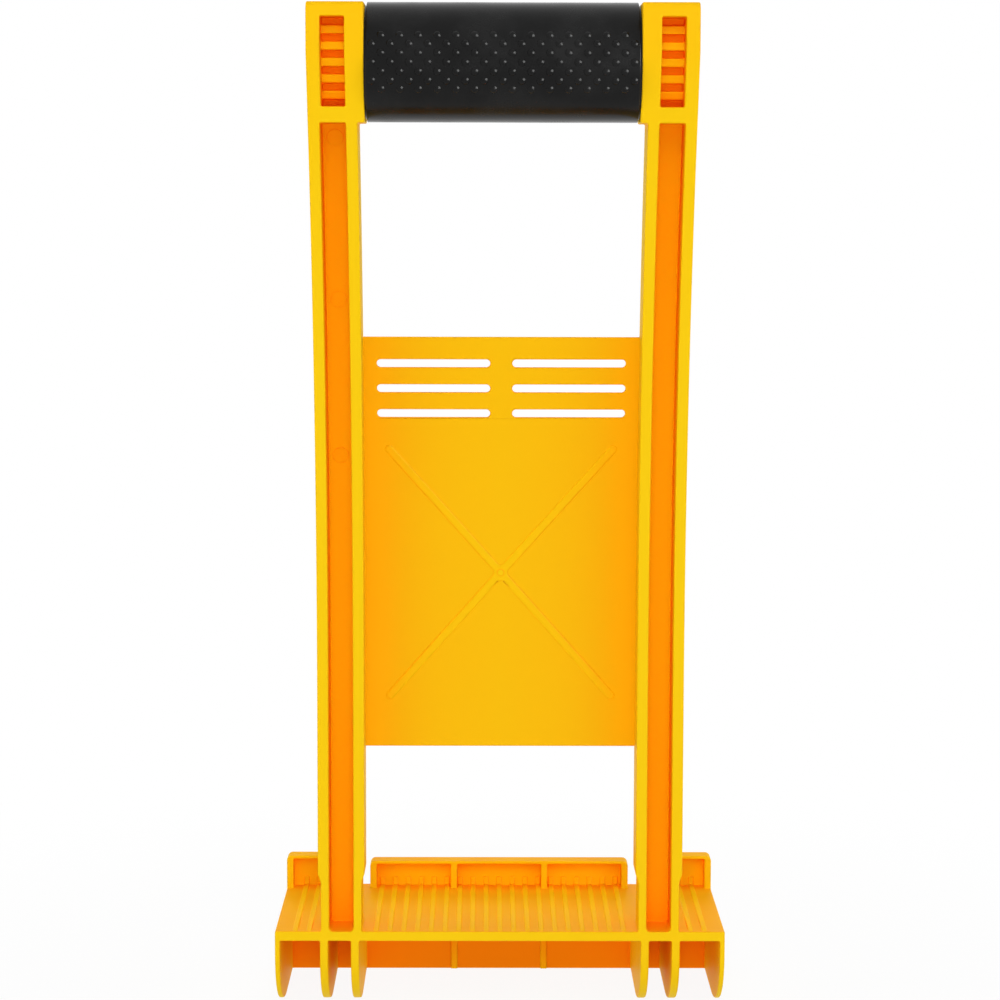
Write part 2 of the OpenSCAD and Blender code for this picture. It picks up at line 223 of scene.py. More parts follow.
class Finish(bpy.types.PropertyGroup):
    """Colours, with the moulding's painted shade and light, and gloss"""

    yellow: colour("Yellow", "Colour of the moulding on its open edges", (0.98, 0.615, 0.006))
    # Painted shade: the broad yellow is a little deeper than the open edges' yellow, and is the plate's
    # colour on its open face
    yellow_broad: colour("Broad yellow", "Colour of the moulding on its broad faces", (0.98, 0.54, 0.004))
    # Painted light: the cross is a little paler than the plate's broad yellow
    yellow_bead: colour("Bead yellow", "Colour of the cross on the plate", (0.98, 0.58, 0.004))
    # Painted shade: the colour that the faces looking up, below the lips' tops, take
    yellow_upward_shade: colour("Upward shade yellow", "Colour of the faces that boards stand on", (0.98, 0.43, 0.006))
    # Painted shade on the plate beside the uprights
    yellow_side: colour("Side yellow", "Colour of the plate beside the uprights", (0.98, 0.43, 0.003))
    # Painted shade: the deep yellow and the amber stand in for the shade in hollows and corners, and the
    # glow reach sets how wide a hollow takes it
    yellow_deep: colour("Deep yellow", "Colour that the moulding takes in its hollows", (0.98, 0.55, 0.002))
    amber: colour("Amber", "Colour that the moulding takes in its deepest corners", (0.98, 0.25, 0.001))
    glow_reach: length("Glow reach", "Width up to which a hollow deepens the colour", 50 * MM)
    streaks: share("Streaks", "How much the flow streaks deepen the colour", 0.02)
    # Painted shade below the deck, on the skirt and its ribs
    rib_shade: share("Rib shade", "How much deeper the colour is on the skirt's ribs", 0.6)
    skirt_shade: share("Skirt shade", "How much deeper the skirt is than its ribs", 0.3)
    # Painted shade, growing towards the top of the heads
    crown_shade: share("Crown shade", "How much deeper the colour is at the top of the heads", 0.08)
    # Painted light on the uprights at mid-height
    waist_light: share("Waist light", "How much paler the uprights are at mid-height", 0.08)
    # Painted light on the faces below the deck that turn from the hand
    wall_light: share("Wall light", "How much paler the walls' sides are under the deck", 0.15)
    plastic_gloss: share("Plastic roughness", "Roughness of the moulding", 0.48)
    plastic_sheen: share("Plastic sheen", "Strength of the moulding's reflections", 0.02)
    plastic_peel: share("Plastic peel", "Strength of the moulding's fine skin", 0.12)
    rubber: colour("Rubber", "Colour of the grip", (0.006, 0.006, 0.006))
    rubber_dusty: colour("Dusty rubber", "Colour of the grip's paler patches", (0.011, 0.011, 0.011))
    rubber_gloss: share("Rubber roughness", "Roughness of the grip", 0.24)
    rubber_sheen: share("Rubber sheen", "Strength of the grip's reflections", 0.12)
    rubber_grain: share("Rubber grain", "Strength of the grip's fine grain", 0.08)
    floor: colour("Floor", "Colour of the floor where the object shades it", (0.86, 0.86, 0.86))
    table: share("Table", "Even light that the floor throws up", 0.7)
    shadow: share("Shadow", "How much of the object's shadow shows on the floor beside it", 0.08)


class StudioSetup(bpy.types.PropertyGroup):
    """Camera and light"""

    lens: bpy.props.FloatProperty(
        name="Lens", description="Focal length in mm", default=107.03, unit="CAMERA")
    camera: bpy.props.FloatVectorProperty(
        name="Camera", description="Place of the camera", default=(-0.0063, -1.0883, 0.3063),
        size=3, precision=4, subtype="TRANSLATION", unit="LENGTH")
    tilt: angle("Tilt", "Downward tilt of the camera", 5.938)
    turn: angle("Turn", "Turn of the camera to the right", 0.301)
    roll: angle("Roll", "Lean of the camera to the left", 0.14)
    ambient: share("Ambient", "Strength of the room's light", 0.11)
    key: watts("Key", "Power of the front light", 12.5)
    fill: watts("Fill", "Power of the low light", 2.8)
    lens_light: watts("Lens light", "Power of the light below the camera", 2.0)
    side: watts("Side", "Power of each of the two side lights", 4.6)
    ends: watts("Ends", "Power of each of the two lights beside the shelf's ends", 12.0)
    back: watts("Back", "Power of the light behind", 14.0)
    top: watts("Top", "Power of the light above", 95.0)
    card: watts("Card", "Power of the card that only shows in reflections", 135.0)


class Wire:
    """A socket in a material, on which Python's arithmetic adds Math nodes."""

    def __init__(self, paint, socket):
        self.paint = paint
        self.socket = socket

    def math(self, operation, a, b):
        """The result of a Math node on two values."""
        return self.paint.node("ShaderNodeMath", {"operation": operation}, {0: a, 1: b})

    def __add__(self, other):
        return self.math("ADD", self, other)

    def __sub__(self, other):
        return self.math("SUBTRACT", self, other)

    def __mul__(self, other):
        return self.math("MULTIPLY", self, other)

    def __rsub__(self, other):
        return self.math("SUBTRACT", other, self)

    __radd__ = __add__
    __rmul__ = __mul__


class Paint:
    """The nodes of a material or of the world, under construction."""

    def __init__(self, owner):
        self.owner = owner
        owner.use_nodes = True
        self.tree = owner.node_tree
        self.tree.nodes.clear()

    def node(self, kind, settings=None, inputs=None, out=0):
        """Adds a node, sets it up, feeds its sockets and returns one of its outputs."""
        made = self.tree.nodes.new(kind)
        for key, value in (settings or {}).items():
            if key == "stops":
                stops = made.color_ramp.elements
                for place, _ in value[len(stops):]:
                    stops.new(place)
                for stop, (place, tone) in zip(stops, value):
                    stop.position, stop.color = place, (*tone, 1)
            else:
                setattr(made, key, value)
        for key, value in (inputs or {}).items():
            if isinstance(value, Wire):
                self.tree.links.new(value.socket, made.inputs[key])
            else:
                made.inputs[key].default_value = value
        return None if out is None else Wire(self, made.outputs[out])

    def blend(self, share_of_b, a, b):
        """A colour between a and b, each a colour or a wire."""
        a, b = (tone if isinstance(tone, Wire) else (*tone, 1) for tone in (a, b))
        return self.node("ShaderNodeMix", {"data_type": "RGBA"}, {"Factor": share_of_b, 6: a, 7: b}, out=2)

    def noise(self, place, scale, detail=2.0, stretch=None):
        """A cloudy pattern from 0 to 1, drawn out along an axis where stretch says so."""
        if stretch:
            place = self.node("ShaderNodeVectorMath", {"operation": "MULTIPLY"}, {0: place, 1: stretch})
        return self.node("ShaderNodeTexNoise", None,
                         {"Vector": place, "Scale": scale, "Detail": detail, "Roughness": 0.55})

    def spread(self, value, low, high):
        """Stretches a value so that low gives 0 and high gives 1, softly and without running past."""
        return self.node("ShaderNodeMapRange", {"interpolation_type": "SMOOTHSTEP"},
                         {0: value, 1: low, 2: high, 3: 0.0, 4: 1.0})

    def backdrop(self):
        """1 on the rays that show the white background: straight to the camera, mirrored or let through."""
        seen, mirrored, let_through = (self.node("ShaderNodeLightPath", out=f"Is {kind} Ray")
                                       for kind in ("Camera", "Glossy", "Transmission"))
        return self.node("ShaderNodeMath", {"operation": "ADD", "use_clamp": True},
                         {0: seen + mirrored, 1: let_through})

    def finish(self, shader, kind="Material"):
        """Ends the material or the world with that shader."""
        self.node(f"ShaderNodeOutput{kind}", None, {"Surface": shader}, out=None)
        return self.owner


def openness(paint, place, finish, alone=False):
    """How open a surface lies, from 0 in a deep corner to 1, with faint flow streaks."""
    streak = paint.spread(paint.noise(place, scale=26, detail=3, stretch=(1, 1, 0.25)), low=0.35, high=0.7)
    # Ambient occlusion, which the materials turn into painted shade in hollows
    reach = paint.node("ShaderNodeAmbientOcclusion", {"samples": 8, "only_local": alone},
                       {"Distance": finish.glow_reach}, out="AO")
    return reach - streak * finish.streaks


def yellow_tone(paint, finish, glow, *open_stops):
    """The plastic's colour with painted shade, from amber in deep corners to the stops given for open
    faces.
    """
    return paint.node("ShaderNodeValToRGB", {"stops": [
        (0.0, finish.amber), (0.3, finish.yellow_deep), *open_stops]}, {0: glow})


def satin_plastic(paint, place, finish, tone):
    """Ends a material as satin plastic of that colour, with a fine orange-peel skin."""
    cloud, cloudy = paint.noise(place, scale=90, detail=3), 0.14
    peel = paint.noise(place, scale=1100, detail=1)
    pits, pitted = paint.noise(place, scale=330, detail=2), 0.4
    bump = paint.node("ShaderNodeBump", None, {
        "Strength": finish.plastic_peel, "Distance": 0.05 * MM,
        "Height": peel * (1 - pitted) + pits * pitted})
    return paint.finish(paint.node("ShaderNodeBsdfPrincipled", None, {
        "Base Color": tone,
        "Roughness": cloud * cloudy + (finish.plastic_gloss - cloudy / 2),
        "Specular IOR Level": finish.plastic_sheen,
        "Normal": bump}))


def moulded_yellow(finish):
    """The moulding's plastic, with painted shade and light: palest along open edges, amber under the deck,
    warmer on the faces that look up below the lips' tops.
    """
    paint = Paint(bpy.data.materials.new("moulded_yellow"))
    place = paint.node("ShaderNodeTexCoord", out="Object")
    facing = paint.node("ShaderNodeNewGeometry", out="Normal")
    depth, height = (paint.node("ShaderNodeSeparateXYZ", None, {0: place}, out=axis) for axis in "YZ")
    away, upward = (paint.node("ShaderNodeSeparateXYZ", None, {0: facing}, out=axis) for axis in "YZ")
    deck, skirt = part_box("shelf_deck")[0].z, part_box("rear_skirt")[0].y
    lip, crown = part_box("centre_lip")[1].z, [corner.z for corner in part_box("right_head")]
    foot, seat = (corner.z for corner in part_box("right_upright"))
    middle = (foot + seat) / 2
    # Painted light on the faces below the deck that turn from the hand
    below_deck = 1 - paint.spread(height, low=deck - 4 * MM, high=deck)
    turned = paint.spread(away, low=-0.8, high=-0.3)
    # Painted shade on the skirt and its ribs below the deck, less on the faces that turn from the hand
    ribs = paint.spread(depth, low=skirt - 15 * MM, high=skirt - 1 * MM)
    between = paint.spread(depth, low=skirt - 0.7 * MM, high=skirt)
    skirt_face = (ribs * finish.rib_shade + between * finish.skirt_shade) * (1 - turned)
    # Painted light: the uprights are paler at mid-height
    waist = paint.spread(height, foot, middle) - paint.spread(height, middle, seat)
    # Painted shade from how open the faces lie, with the painted light and shade of the masks above, and
    # painted shade growing towards the top of the heads
    glow = (openness(paint, place, finish, alone=True) + waist * finish.waist_light
            + below_deck * (turned * finish.wall_light - skirt_face)
            - paint.spread(height, *crown) * finish.crown_shade)
    tone = yellow_tone(paint, finish, glow, (0.9, finish.yellow_broad), (1.0, finish.yellow))
    # Painted shade on the faces that look up below the lips' tops, laid on in blotches
    shelf = 1 - paint.spread(height, low=lip + 1 * MM, high=lip + 5 * MM)
    level = paint.spread(upward, low=0.6, high=0.95)
    blotch = paint.spread(paint.noise(place, scale=60, detail=3, stretch=(1, 0.3, 1)), low=0.3, high=0.7)
    blotched = 0.3
    upward_shade = shelf * level * (blotch * blotched + (1 - blotched))
    tone = paint.blend(upward_shade, tone, finish.yellow_upward_shade)
    return satin_plastic(paint, place, finish, tone)


def trim_plastic(name, finish, *open_stops):
    """The same plastic on a piece that lies on the moulding, with painted shade in its hollows."""
    paint = Paint(bpy.data.materials.new(name))
    place = paint.node("ShaderNodeTexCoord", out="Object")
    tone = yellow_tone(paint, finish, openness(paint, place, finish), *open_stops)
    return satin_plastic(paint, place, finish, tone)


def moulded_plate(finish):
    """The plastic of the thin broad plate, with painted shade: deeper than the open edges all over, and
    deeper still beside the uprights.
    """
    return trim_plastic("moulded_plate", finish, (0.65, finish.yellow_side), (1.0, finish.yellow_broad))


def moulded_bead(finish):
    """The plastic of the raised cross, with painted light: a little paler than the plate that it stands on.
    """
    return trim_plastic("moulded_bead", finish, (0.65, finish.yellow_side), (1.0, finish.yellow_bead))


def moulded_mark(finish):
    """The plastic of the mould's marks, which take the colour of the face that they stand on, with painted
    shade in hollows.
    """
    return trim_plastic("moulded_mark", finish, (0.9, finish.yellow_broad), (1.0, finish.yellow))


def moulded_ridge(finish):
    """The plastic of the narrow ridges, with painted light: paler than the shelf's hollow round them, with
    painted shade only where they lie deep.
    """
    return trim_plastic("moulded_ridge", finish, (0.6, finish.yellow_broad), (1.0, finish.yellow_broad))


def black_rubber(finish):
    """Black rubber, a little dusty in patches, with a fine moulded grain."""
    paint = Paint(bpy.data.materials.new("black_rubber"))
    place = paint.node("ShaderNodeTexCoord", out="Object")
    patch, patchy = paint.spread(paint.noise(place, scale=70, detail=4), low=0.35, high=0.75), 0.12
    grain, grainy = paint.noise(place, scale=1500, detail=2), 0.08
    bump = paint.node("ShaderNodeBump", None, {
        "Strength": finish.rubber_grain, "Distance": 0.08 * MM, "Height": grain})
    return paint.finish(paint.node("ShaderNodeBsdfPrincipled", None, {
        "Base Color": paint.blend(patch, finish.rubber, finish.rubber_dusty),
        "Roughness": patch * patchy + grain * grainy + (finish.rubber_gloss - (patchy + grainy) / 2),
        "Specular IOR Level": finish.rubber_sheen,
        "Normal": bump}))


def pale_floor(finish):
    """A pale floor that is seen as white with the object's shadow on it, and throws an even light up."""
    paint = Paint(bpy.data.materials.new("pale_floor"))
    place = paint.node("ShaderNodeTexCoord", out="Object")
    away = paint.node("ShaderNodeVectorMath", {"operation": "LENGTH"}, {0: place}, out="Value")
    clear = paint.spread(away, low=0.1, high=0.45)
    white = paint.backdrop() * (clear * finish.shadow + (1 - finish.shadow))
    matt = paint.node("ShaderNodeBsdfDiffuse", None, {"Color": (*finish.floor, 1)})
    glow = paint.node("ShaderNodeEmission", None, {"Color": WHITE, "Strength": 1.0})
    even = paint.node("ShaderNodeEmission", None, {"Color": WHITE, "Strength": finish.table})
    upward = paint.node("ShaderNodeLightPath", out="Is Diffuse Ray")
    table = paint.node("ShaderNodeMixShader", None, {0: upward, 1: matt, 2: even})
    paint.owner.cycles.emission_sampling = "NONE"
    return paint.finish(paint.node("ShaderNodeMixShader", None, {0: white, 1: table, 2: glow}))


MATERIALS = {paint.__name__: paint for paint in (
    moulded_yellow, moulded_plate, moulded_bead, moulded_mark, moulded_ridge, black_rubber, pale_floor)}


def material(name):
    """The named material, made once."""
    return bpy.data.materials.get(name) or MATERIALS[name](bpy.context.scene.carrier_finish)


def linked(name, data):
    """A new object with that mesh, lamp or camera, in the scene."""
    made = bpy.data.objects.new(name, data)
    bpy.context.scene.collection.objects.link(made)
    return made


def meshed(name, form):
    """A new object with the faces of a bmesh, turned outwards."""
    bmesh.ops.recalc_face_normals(form, faces=form.faces)
    mesh = bpy.data.meshes.new(name)
    form.to_mesh(mesh)
    form.free()
    return linked(name, mesh)


def prism(axis, outline, low, high):
    """A solid with the outline, drawn in the two other axes in order, from low to high along the axis."""
    def point(a, b, along):
        return {"X": (along, a, b), "Y": (a, along, b), "Z": (a, b, along)}[axis]

    form = bmesh.new()
    ends = [[form.verts.new(point(a, b, along)) for a, b in outline] for along in (low, high)]
    for ring in ends:
        form.faces.new(ring)
    for i in range(len(outline)):
        j = (i + 1) % len(outline)
        form.faces.new((ends[0][i], ends[0][j], ends[1][j], ends[1][i]))
    return meshed("prism", form)


def block(low, high):
    """A box between two corners."""
    return prism("Z", [(low[0], low[1]), (high[0], low[1]), (high[0], high[1]), (low[0], high[1])],
                 low[2], high[2])


def applied(piece):
    """Makes the piece's modifiers part of its mesh."""
    old = piece.data
    seen = piece.evaluated_get(bpy.context.evaluated_depsgraph_get())
    mesh = bpy.data.meshes.new_from_object(seen)
    piece.modifiers.clear()
    piece.data = mesh
    bpy.data.meshes.remove(old)
    return piece


def discard(piece):
    """Removes an object together with its mesh."""
    mesh = piece.data
    bpy.data.objects.remove(piece)
    bpy.data.meshes.remove(mesh)


def combined(operation, body, *tools):
    """Joins the tools to the body, takes them out of it, or keeps what both hold."""
    for tool in tools:
        step = body.modifiers.new("step", "BOOLEAN")
        step.operation = operation
        step.solver = "EXACT"
        step.object = tool
        applied(body)
        discard(tool)
    return body


def cleaned(piece, merge=DOUBLE):
    """Takes out doubled points and the edges that lie in flat faces."""
    form = bmesh.new()
    form.from_mesh(piece.data)
    bmesh.ops.remove_doubles(form, verts=form.verts, dist=merge)
    bmesh.ops.dissolve_degenerate(form, edges=form.edges, dist=NO_LENGTH)
    bmesh.ops.dissolve_limit(form, angle_limit=FLAT, verts=form.verts, edges=form.edges)
    bmesh.ops.recalc_face_normals(form, faces=form.faces)
    form.to_mesh(piece.data)
    form.free()
    return piece


def rounded(piece, radius, segments=3):
    """Rounds every edge that turns by more than a small angle, and shades the faces smoothly."""
    piece.data.shade_smooth()
    bevel = piece.modifiers.new("edges", "BEVEL")
    bevel.width = radius
    bevel.segments = segments
    bevel.limit_method = "ANGLE"
    bevel.angle_limit = ROUND_FROM
    bevel.use_clamp_overlap = False
    bevel.miter_outer = "MITER_ARC"
    bevel.harden_normals = True
    return applied(piece)


def finished(piece, name, paint, slot, *nodes):
    """Names a piece, gives it its material, and sets it in the frame in place of those nodes."""
    piece.name = piece.data.name = name
    piece.data.materials.clear()
    piece.data.materials.append(material(paint))
    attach(piece, BODY)
    if nodes:
        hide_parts(*nodes)


def arc(middle, radius, start, end, steps):
    """Points of an arc, with its angles in degrees."""
    turn = [math.radians(start + (end - start) * i / steps) for i in range(steps + 1)]
    return [(middle[0] + radius * math.cos(a), middle[1] + radius * math.sin(a)) for a in turn]


def both(*nodes):
    """The left-hand and right-hand names of nodes."""
    return [f"{side}_{node}" for node in nodes for side in ("left", "right")]


class Places:
    """Where the moulding's members lie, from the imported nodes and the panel's sizes."""

    def __init__(self, scene):
        self.shelf, self.sizes, self.grip = scene.carrier_shelf, scene.carrier_frame, scene.carrier_grip
        low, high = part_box("shelf_deck")
        self.end_x, self.near, self.far = high.x, low.y, high.y
        self.deck_low, self.deck_top = low.z, high.z
        self.skirt_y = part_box("rear_skirt")[0].y
        low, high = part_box("right_foot")
        self.foot_top = high.z
        self.depth = high.y - low.y
        low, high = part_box("right_upright")
        self.inner, self.outer = low.x, high.x
        self.seat = high.z
        middle, half = (low.x + high.x) / 2, self.sizes.channel_width / 2
        self.channel = (middle - half, middle + half)
        self.foot = (self.channel[0] - self.sizes.foot_flange, self.channel[1] + self.sizes.foot_flange)
        self.bend_z = self.deck_top + self.sizes.straight
        low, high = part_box("back_plate")
        self.plate = (low.z, high.z)
        low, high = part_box("handle_bar")
        self.axis = ((low.y + high.y) / 2, (low.z + high.z) / 2)
        self.core = (high.z - low.z) / 2
        low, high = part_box("right_head")
        self.head_x = low.x
        self.head_r = high.z - self.axis[1]
        self.head_front = low.y

    def bent(self, depth, z):
        """The point of the side view at that depth behind the near edge and that height."""
        if z <= self.bend_z:
            return (self.near + depth, z)
        radius = self.sizes.bend_radius + depth
        turn = math.asin((z - self.bend_z) / radius)
        return (self.near + radius * math.cos(turn) - self.sizes.bend_radius, z)

    def run(self, depth, low, high, stops=()):
        """Points of the side view that follow the bend at that depth, from low to high."""
        radius = self.sizes.bend_radius + depth
        steps = [self.bend_z + radius * math.sin(math.radians(BEND_STEP * i)) for i in range(BEND_STEPS)]
        inside = sorted({z for z in [*steps, *stops] if low + STEP_MARGIN < z < high - STEP_MARGIN})
        return [self.bent(depth, z) for z in [low, *inside, high]]

    def sheet(self, depth, thickness, low, high):
        """Side view of a sheet that follows the bend."""
        return self.run(depth, low, high) + self.run(depth + thickness, low, high)[::-1]

    def head(self):
        """Side view of a head, from its near seat over the top to its far seat."""
        y, z = self.axis
        near, far = self.bent(0, self.seat), self.bent(self.depth, self.seat)
        corner = self.sizes.head_corner
        reach = math.hypot(far[0] - y, far[1] - z)
        tangent = math.degrees(math.atan2(far[1] - z, far[0] - y) + math.acos(self.head_r / reach))
        return [near, (self.head_front, z + self.sizes.head_brow),
                *arc((self.head_front + corner, z + self.head_r - corner), corner, 180, 90, END_STEPS),
                *arc((y, z), self.head_r, 90, tangent, HEAD_STEPS), far]

    def front(self, z):
        """Where the head's front lies at a height below its rounded top edge."""
        near = self.bent(0, self.seat)
        brow = self.axis[1] + self.sizes.head_brow
        part = min(1.0, (z - near[1]) / (brow - near[1]))
        return near[0] + (self.head_front - near[0]) * part


def shelf_members(at):
    """The skirt with its ribs, and the walls under the deck."""
    def toe_wall(low, high):
        toe = [(at.near + at.shelf.toe_reach * (1 - math.cos(a)), at.shelf.toe_rise * (1 - math.sin(a)))
               for a in (math.radians(90 * i / TOE_STEPS) for i in range(TOE_STEPS + 1))]
        top = at.deck_low + SINK
        back = at.skirt_y + SINK
        return prism("X", [(back, 0), (back, top), (at.near, top), *toe], low, high)

    made = [block((-at.end_x, at.skirt_y, 0), (at.end_x, at.far, at.deck_low + SINK))]
    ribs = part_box("skirt_ribs")
    for side in (-1, 1):
        for node in ("right_end_wall", "right_outer_wall", "right_inner_wall"):
            made.append(toe_wall(*sorted(side * corner.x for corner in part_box(node))))
        rib = sorted((side * ribs[1].x, side * (ribs[1].x - at.shelf.rib_width)))
        made.append(block((rib[0], ribs[0].y, 0), (rib[1], at.skirt_y + SINK, at.deck_low + SINK)))
    return made


def lip_members(at):
    """The three lips, each a frame that is open towards the hand."""
    def lip(node, *ribs):
        low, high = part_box(node)
        r, post = at.shelf.lip_corner, at.shelf.lip_post
        base = low.z - SINK
        outline = [(low.x, base), (high.x, base),
                   *arc((high.x - r, high.z - r), r, 0, 90, CORNER_STEPS),
                   *arc((low.x + r, high.z - r), r, 90, 180, CORNER_STEPS)]
        made = prism("Y", outline, low.y, high.y)
        stops = [low.x + post, *ribs, high.x - post]
        for left, right in zip(stops[::2], stops[1::2]):
            combined("DIFFERENCE", made, block((left, low.y - PAST, base - PAST),
                                               (right, at.skirt_y, high.z - at.shelf.lip_flange)))
        return made

    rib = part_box("skirt_ribs")[1].x
    edges = [-rib, at.shelf.rib_width - rib, rib - at.shelf.rib_width, rib]
    return [lip("centre_lip", *edges), lip("left_lip"), lip("right_lip")]


def arm(at, side):
    """One upright with its foot and its head, as the right-hand one, mirrored where side is -1."""
    def span(low, high):
        return sorted((side * low, side * high))

    base = at.deck_top - SINK
    outline = (at.run(0, base, at.seat)[:-1] + at.head()[:-1]
               + at.run(at.depth, base, at.seat, [at.plate[1]])[::-1])
    made = prism("X", outline, *span(at.inner, at.outer))
    combined("UNION", made, prism("X", at.head(), *span(at.head_x, at.inner + SINK)))
    web, below = at.depth - at.sizes.web, at.deck_top - 2 * SINK
    channel = at.run(-PAST, below, at.seat) + at.run(web, below, at.seat)[::-1]
    combined("DIFFERENCE", made, prism("X", channel, *span(*at.channel)))
    for edge, foot, out in ((at.outer, at.foot[1], 1), (at.inner, at.foot[0], -1)):
        past = edge + out * PAST
        cut = [(side * x, z) for x, z in (
            (foot, base - PAST), (past, base - PAST), (past, at.foot_top), (edge, at.foot_top),
            (foot, at.foot_top - at.sizes.foot_slope))]
        combined("DIFFERENCE", made, prism("Y", cut, at.near - PAST, at.near + at.depth + PAST))
    return head_pockets(at, made, span)


def head_pockets(at, made, span):
    """Cuts the window, and the stack of pockets behind it, into the head of an arm."""
    sizes = at.sizes
    right = at.outer - sizes.window_in
    across = span(right - sizes.window_width, right)
    step = sizes.pocket_height + sizes.pocket_rib
    tall = sizes.pocket_count * step - sizes.pocket_rib
    low = at.axis[1] - sizes.window_drop - tall / 2
    outside = at.head_front - PAST
    brow = at.axis[1] + sizes.head_brow
    back = [(at.front(z) + sizes.window_depth, z) for z in (low + tall, brow, low)]
    combined("DIFFERENCE", made, prism("X", [(outside, low), (outside, low + tall), *back], *across))
    for i in range(sizes.pocket_count):
        z = low + i * step
        deep = at.front(z) + sizes.window_depth + sizes.pocket_depth
        combined("DIFFERENCE", made, block((across[0], outside, z),
                                           (across[1], deep, z + sizes.pocket_height)))
    return made


def channel_fillets(at):
    """The round corners at the bottom of the two channels."""
    made = []
    r = at.shelf.foot_fillet
    for side in (-1, 1):
        for x, out in ((at.channel[0], 1), (at.channel[1], -1)):
            corner = (side * (x + out * r), at.deck_top + r)
            turn = (270, 180) if side * out > 0 else (270, 360)
            outline = [(side * (x - out * SINK), at.deck_top - SINK), (corner[0], at.deck_top - SINK),
                       *arc(corner, r, *turn, CORNER_STEPS), (side * (x - out * SINK), at.deck_top + r)]
            made.append(prism("Y", outline, at.near, at.near + at.depth - at.sizes.web + SINK))
    return made


def slotted_plate(at):
    """The bent plate between the uprights, with its rows of slots."""
    sizes = at.sizes
    low, high = at.plate
    edge = at.inner + SINK
    made = prism("X", at.sheet(at.depth - sizes.plate, sizes.plate, low, high), -edge, edge)
    r = sizes.slot_height / 2
    for row in range(sizes.slot_rows):
        z = high - sizes.slot_drop - row * sizes.slot_pitch
        for side in (-1, 1):
            ends = sorted(side * (sizes.slot_strip / 2 + x) for x in (r, sizes.slot_length - r))
            outline = (arc((ends[1], z), r, -90, 90, END_STEPS)
                       + arc((ends[0], z), r, 90, 270, END_STEPS))
            combined("DIFFERENCE", made, prism("Y", outline, at.head_front, at.far))
    return made


class CARRIER_OT_moulding(bpy.types.Operator):
    """Builds the frame of the moulding: shelf, lips, uprights and heads, with rounded edges"""

    bl_idname = "carrier.moulding"
    bl_label = "Moulding"

    def execute(self, context):
        at = Places(context.scene)
        body = block((-at.end_x, at.near, at.deck_low), (at.end_x, at.far, at.deck_top))
        combined("UNION", body, *shelf_members(at), *lip_members(at), arm(at, 1), arm(at, -1),
                 *channel_fillets(at))
        rounded(cleaned(body), at.sizes.edge_radius)
        finished(body, "moulding", "moulded_yellow", PLASTIC_SLOT,
                 "shelf_deck", "rear_skirt", "skirt_ribs", "centre_lip",
                 *both("lip", "end_wall", "outer_wall", "inner_wall", "foot", "upright", "head"))
        return {"FINISHED"}


class CARRIER_OT_plate(bpy.types.Operator):
    """Builds the slotted plate between the uprights"""

    bl_idname = "carrier.plate"
    bl_label = "Plate"

    def execute(self, context):
        at = Places(context.scene)
        plate = rounded(cleaned(slotted_plate(at)), at.sizes.edge_radius)
        finished(plate, "plate", "moulded_plate", PLASTIC_SLOT, "back_plate")
        return {"FINISHED"}


class CARRIER_OT_ridges(bpy.types.Operator):
    """Builds the grip ridges on the deck"""

    bl_idname = "carrier.ridges"
    bl_label = "Deck ridges"

    def execute(self, context):
        low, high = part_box("deck_ridges")
        shelf = context.scene.carrier_shelf
        half, tall = shelf.ridge_width / 2, shelf.ridge_height
        middle = (shelf.ridge_count - 1) / 2
        places = [(i - middle) * shelf.ridge_pitch for i in range(shelf.ridge_count)]
        for side in (-1, 1):
            places += [side * (high.x - half - i * shelf.ridge_pitch) for i in range(shelf.end_ridges)]
        base, back = low.z - SINK, high.y + SINK
        outline = [(low.y, base), (low.y, low.z), (low.y + shelf.ridge_ramp, low.z + tall),
                   (high.y - tall, low.z + tall), (high.y - tall, high.z), (back, high.z), (back, base)]
        form = bmesh.new()
        for x in places:
            bar = prism("X", outline, x - half, x + half)
            form.from_mesh(bar.data)
            discard(bar)
        ridges = rounded(meshed("ridges", form), shelf.ridge_round, segments=4)
        finished(ridges, "ridges", "moulded_ridge", PLASTIC_SLOT, "deck_ridges")
        return {"FINISHED"}


class CARRIER_OT_cross(bpy.types.Operator):
    """Builds the raised cross on the plate"""

    bl_idname = "carrier.cross"
    bl_label = "Cross"

    def execute(self, context):
        at = Places(context.scene)
        low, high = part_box("cross_ribs")
        sizes = at.sizes
        r = sizes.cross_width / 2
        left, right, bottom, top = low.x + r, high.x - r, low.z + r, high.z - r
        r += sizes.cross_swell / 2
        lean = math.degrees(math.atan2(top - bottom, right - left))
        bars = []
        for side in (-1, 1):
            ends = ((side * right, top), (side * left, bottom))
            turn = lean if side > 0 else 180 - lean
            outline = (arc(ends[0], r, turn - 90, turn + 90, END_STEPS)
                       + arc(ends[1], r, turn + 90, turn + 270, END_STEPS))
            bar = prism("Y", outline, at.head_front, at.far)
            thick = sizes.cross_height + sizes.cross_root
            skin = at.sheet(at.depth - sizes.plate - sizes.cross_height, thick, bottom - 2 * r, top + 2 * r)
            bars.append(combined("INTERSECT", bar, prism("X", skin, left - 2 * r, right + 2 * r)))
        cross = combined("UNION", *bars)
        rounded(cleaned(cross, merge=0.1 * MM), sizes.cross_round, segments=5)
        finished(cross, "cross", "moulded_bead", PLASTIC_SLOT, "cross_ribs")
        return {"FINISHED"}


